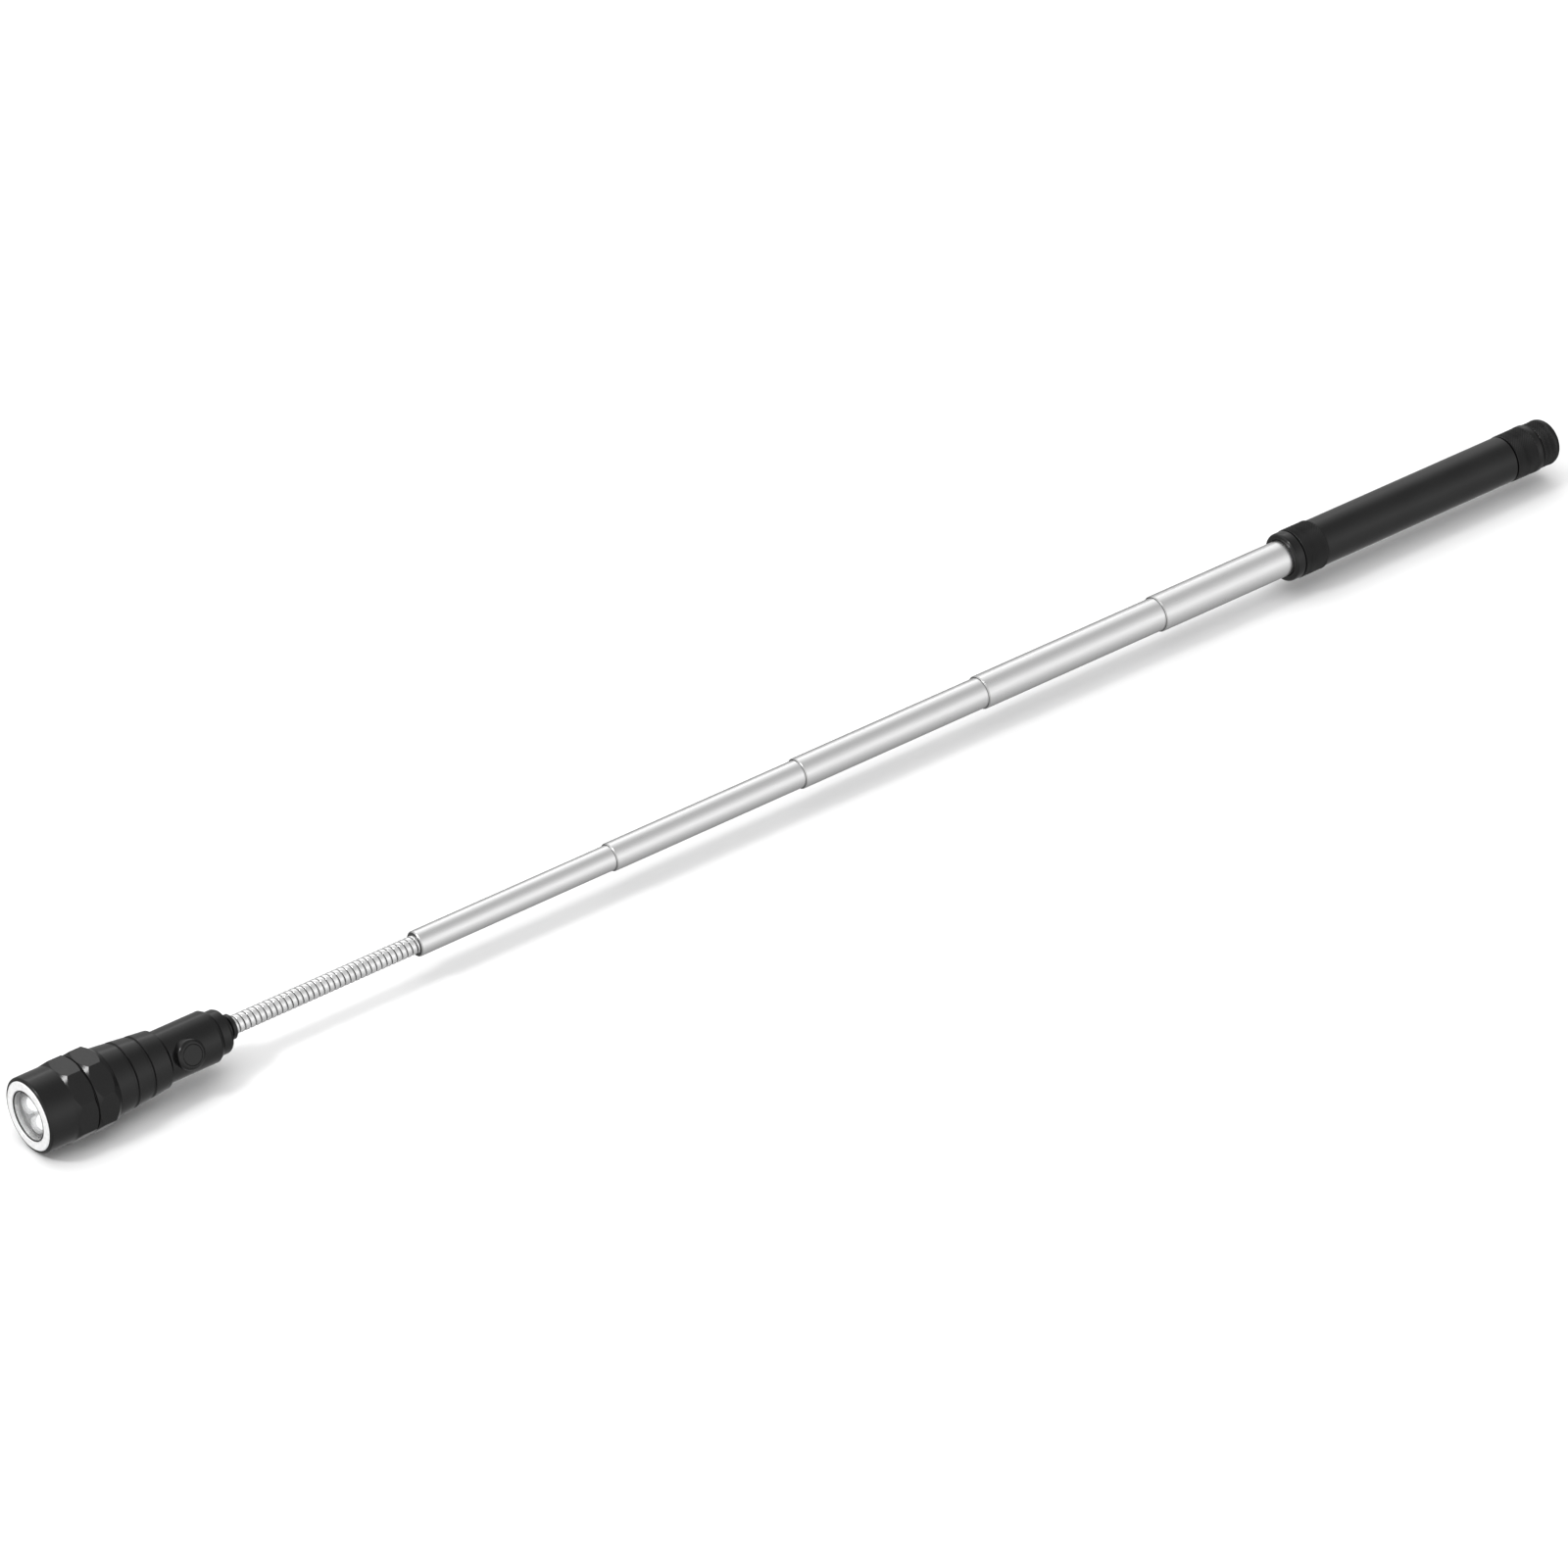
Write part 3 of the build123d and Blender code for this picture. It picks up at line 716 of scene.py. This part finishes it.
knurled_piece(
    "knurled_cap",
    [
        (CAP_START, CAP_CENTRE),
        (CAP_START, CAP_SPIGOT),
        (CAP_GROOVE_START, CAP_SPIGOT),
        (CAP_GROOVE_START, CAP_GROOVE),
        (CAP_FACE, CAP_GROOVE),
        (CAP_FACE, CAP_RADIUS - EDGE_DROP),
        *rows_between(CAP_FACE + CAP_KNURL_LEAD, CAP_KNURL_END, CAP_RADIUS, KNURL_ROW),
        *rounded_corner(CAP_END, CAP_RADIUS, CAP_ROUND, CAP_ROUND_STEPS),
        (CAP_END, CAP_MAGNET_SEAT),
        (CAP_END - CAP_MAGNET_DEPTH, CAP_MAGNET_SEAT),
        (CAP_END - CAP_MAGNET_DEPTH, CAP_CENTRE),
    ],
    (CAP_FACE, CAP_KNURL_END),
    CAP_RADIUS,
    "end_cap",
)

# ---------------------------------------------------------------- wound strips
STEPS_PER_TURN = 48


def wound_strip(name, section, start, turns, pitch, slot):
    """A closed strip of one cross-section, of (station offset, radius) corners, wound round the axis."""
    steps = round(turns * STEPS_PER_TURN)
    points = []
    for step in range(steps + 1):
        turn = step / STEPS_PER_TURN
        for offset, radius in section:
            points.append(placed(start + offset + pitch * turn, radius, 2 * math.pi * turn))
    return add_piece(name, points, skin(steps + 1, len(section), closed=False), slot)


# ---------------------------------------------------------------- gooseneck
NECK_RADIUS = radius_of("neck_segment_1")
NECK_ROOT = 2.2
NECK_BORE = 1.2
SEGMENTS = 5
COILS_PER_SEGMENT = 6
NUT_END = span("neck_nut")[1]
# coils between the nut and the first hinge, hidden in the nut, and behind the last hinge
FRONT_COILS = 3
HIDDEN_COILS = 2
REAR_COILS = 3
SEGMENT_LENGTH = (span("neck_segment_5")[0] - span("neck_segment_1")[0]) / (SEGMENTS - 1)
COIL_PITCH = SEGMENT_LENGTH / COILS_PER_SEGMENT
FIRST_HINGE = NUT_END + FRONT_COILS * COIL_PITCH
LAST_HINGE = FIRST_HINGE + SEGMENTS * SEGMENT_LENGTH
HALF_PITCH = COIL_PITCH / 2
HALF_GAP = 0.13
GAP_FLOOR = 0.12
GAP_TAPER = 0.8       # the share of the half gap that is open at its root

# the wound wire's section: the flat bore, then out of one gap, over the crown and into the next.
# A crown corner is how far it stands in from the gap's wall and how far below the crown's top.
CROWN = ((0, 0.25), (0.07, 0.13), (0.20, 0.06), (0.42, 0.015))
rear_half = [
    (HALF_PITCH, NECK_ROOT - GAP_FLOOR),
    (HALF_PITCH - GAP_TAPER * HALF_GAP, NECK_ROOT),
    *[(HALF_PITCH - HALF_GAP - inset, NECK_RADIUS - drop) for inset, drop in CROWN],
]
front_half = [(-offset, radius) for offset, radius in reversed(rear_half)]
NECK_SECTION = [
    (-HALF_PITCH, NECK_BORE),
    (HALF_PITCH, NECK_BORE),
    *rear_half,
    (0, NECK_RADIUS),
    *front_half,
]
NECK_CORNERS = len(NECK_SECTION)
# the section's corners where a face of the gap's floor or wall begins
GAP_CORNERS = (2, 3, NECK_CORNERS - 3, NECK_CORNERS - 2)
GAP_SLOT = 1


NECK_FRONT = NUT_END - HIDDEN_COILS * COIL_PITCH
NECK_BACK = LAST_HINGE + REAR_COILS * COIL_PITCH
for joint in range(SEGMENTS + 1):
    hinge = FIRST_HINGE + joint * SEGMENT_LENGTH
    first = NECK_FRONT if joint == 0 else hinge - SEGMENT_LENGTH / 2
    final = NECK_BACK if joint == SEGMENTS else hinge + SEGMENT_LENGTH / 2
    strip = wound_strip(
        f"gooseneck_{joint + 1}",
        NECK_SECTION,
        first,
        (final - first) / COIL_PITCH,
        COIL_PITCH,
        "neck_steel",
    )
    # the gap faces take the painted shade
    strip.data.materials.append(GAP_PAINTED_SHADE)
    for face in strip.data.polygons:
        first_corner = min(vertex % NECK_CORNERS for vertex in face.vertices)
        if len(face.vertices) == 4 and first_corner in GAP_CORNERS:
            face.material_index = GAP_SLOT
    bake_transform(strip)

# the sleeve behind the coil, which the clip holds, and its end flange
PLUG_END = span("neck_plug")[1]
PLUG_RADIUS = radius_of("neck_plug")
PLUG_FLANGE = PLUG_END - 1.5
PLUG_EDGE = 0.1
PLUG_SLEEVE = 2.4
PLUG_START = NECK_BACK - 0.4
points, faces = turned_rings(
    [
        (PLUG_START, NECK_BORE),
        (PLUG_START, PLUG_SLEEVE),
        (PLUG_FLANGE, PLUG_SLEEVE),
        (PLUG_FLANGE, PLUG_RADIUS - PLUG_EDGE),
        (PLUG_FLANGE + PLUG_EDGE, PLUG_RADIUS),
        (PLUG_END - PLUG_EDGE, PLUG_RADIUS),
        (PLUG_END, PLUG_RADIUS - PLUG_EDGE),
        (PLUG_END, NECK_BORE),
    ],
    STEPS_PER_TURN,
)
neck_tail = add_piece("gooseneck_tail", points, faces, "neck_steel")
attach(neck_tail, "neck_rear")
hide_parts("neck_plug")
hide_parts("neck_front_ferrule")
for number in range(SEGMENTS):
    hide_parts(f"neck_segment_{number + 1}")

# ---------------------------------------------------------------- torch thread
THREAD_PITCH = 1.25
THREAD_RADIUS = 9.3
THREAD_CREST = 9.375
THREAD_SPAN = (20.7, 23.3)
THREAD_HALF_WIDTH = 0.42
THREAD_HALF_CREST = 0.08
THREAD_SUNK = 0.1     # how deep the thread's root lies in the spigot
THREAD_SECTION = [
    (-THREAD_HALF_WIDTH, THREAD_RADIUS - THREAD_SUNK),
    (THREAD_HALF_WIDTH, THREAD_RADIUS - THREAD_SUNK),
    (THREAD_HALF_CREST, THREAD_CREST),
    (-THREAD_HALF_CREST, THREAD_CREST),
]
thread = wound_strip(
    "spigot_thread",
    THREAD_SECTION,
    THREAD_SPAN[0],
    (THREAD_SPAN[1] - THREAD_SPAN[0]) / THREAD_PITCH,
    THREAD_PITCH,
    "black_anodised",
)
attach(thread, "torch")

# ---------------------------------------------------------------- lens gasket
GASKET_BORE = 7.05
GASKET_RADIUS = 7.38
GASKET_FRONT = 0.12
GASKET_BACK = span("lens")[0] - 0.02
GASKET_ROUND = 0.06
GASKET_COLUMNS = 96

points, faces = turned_rings(
    [
        (GASKET_BACK, GASKET_RADIUS),
        (GASKET_FRONT, GASKET_RADIUS),
        (GASKET_FRONT, GASKET_BORE + GASKET_ROUND),
        (GASKET_FRONT + GASKET_ROUND, GASKET_BORE),
        (GASKET_BACK, GASKET_BORE),
    ],
    GASKET_COLUMNS,
)
gasket = add_piece("lens_gasket", points, faces, "seal_rubber")
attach(gasket, "bezel")

# ---------------------------------------------------------------- the button's return spring
BUTTON_SPAN = span("switch_button")
BUTTON_STATION = (BUTTON_SPAN[0] + BUTTON_SPAN[1]) / 2
BUTTON_TURN = math.radians(67.5)     # how far the button is turned from straight up
SPRING_SEAT = 3.6
SPRING_SPACE = 3.2
SPRING_RADIUS = 2.2
SPRING_WIRE = 0.18
SPRING_TURNS = 4
SPRING_STEPS = 32
WIRE_CORNERS = 10
SPRING_CLEARANCE = 0.06


def on_button_line(along, across, height):
    """A frame point from the button's line: along the tool, across the tool and out from its axis."""
    x, y, z = placed(BUTTON_STATION + along, height, BUTTON_TURN)
    return (
        x,
        y + across * math.cos(BUTTON_TURN) * MM,
        z + across * math.sin(BUTTON_TURN) * MM,
    )


def spring_coil(name, slot):
    """A helical wire that stands on the switch and holds the button's flange up."""
    steps = round(SPRING_TURNS * SPRING_STEPS)
    bottom = SPRING_SEAT + SPRING_CLEARANCE + SPRING_WIRE
    rise = SPRING_SPACE - 2 * (SPRING_CLEARANCE + SPRING_WIRE)
    points = []
    for step in range(steps + 1):
        turn = 2 * math.pi * step / SPRING_STEPS
        for corner in range(WIRE_CORNERS):
            round_wire = 2 * math.pi * corner / WIRE_CORNERS
            reach = SPRING_RADIUS + SPRING_WIRE * math.cos(round_wire)
            height = bottom + rise * step / steps + SPRING_WIRE * math.sin(round_wire)
            points.append(on_button_line(reach * math.cos(turn), reach * math.sin(turn), height))
    return add_piece(name, points, skin(steps + 1, WIRE_CORNERS, closed=False), slot)


spring = spring_coil("return_spring", "spring_steel")
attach(spring, "torch")
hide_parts("switch_spring")
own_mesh(spring)
